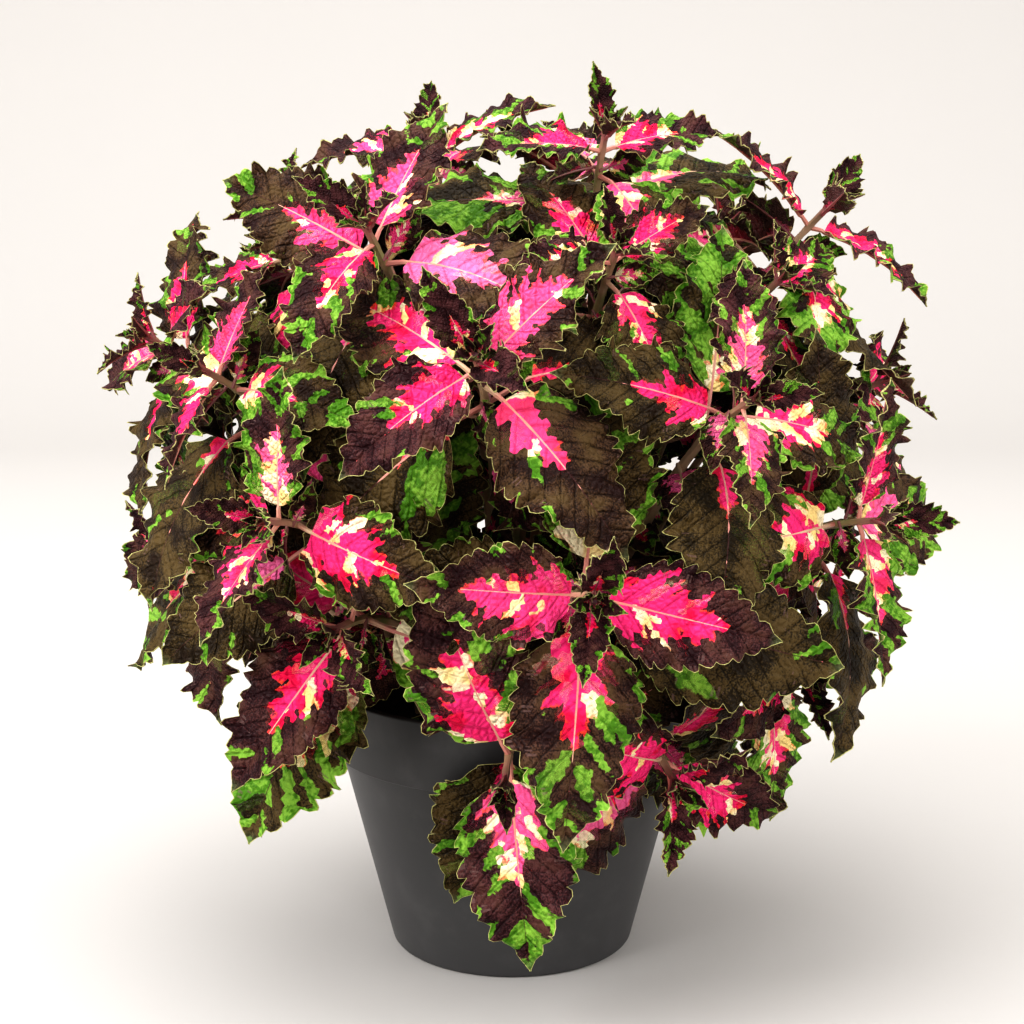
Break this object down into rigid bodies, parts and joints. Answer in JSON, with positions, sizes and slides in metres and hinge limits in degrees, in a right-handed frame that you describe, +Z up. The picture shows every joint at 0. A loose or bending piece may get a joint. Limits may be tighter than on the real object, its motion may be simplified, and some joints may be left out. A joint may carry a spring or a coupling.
{
  "type": "potted coleus",
  "caption": "Bushy coleus with toothed maroon leaves, pink centres and green flecks, in a plain dark grey plastic nursery pot filled with soil.",
  "frame": {"origin": "centre of the pot's flat base", "axes": "+Z up along the pot's axis, -Y to the plant's front"},
  "size_m": [0.4248, 0.427, 0.4482],
  "materials": {
    "pot_plastic": "satin moulded plastic, dark grey",
    "soil": "damp crumbly potting soil",
    "leaf": "soft matt leaf, maroon with pink, cream and green markings"
  },
  "bodies": {
    "root": {"pot": "pot_plastic", "soil": "soil", "stem_top": "leaf", "stem_front_left": "leaf", "stem_front": "leaf", "stem_front_right": "leaf", "stem_right_front": "leaf", "stem_left_front": "leaf", "stem_left": "leaf", "stem_right": "leaf", "stem_back_right": "leaf", "stem_back": "leaf", "stem_back_left": "leaf", "stem_left_back": "leaf"}
  },
  "joints": []
}
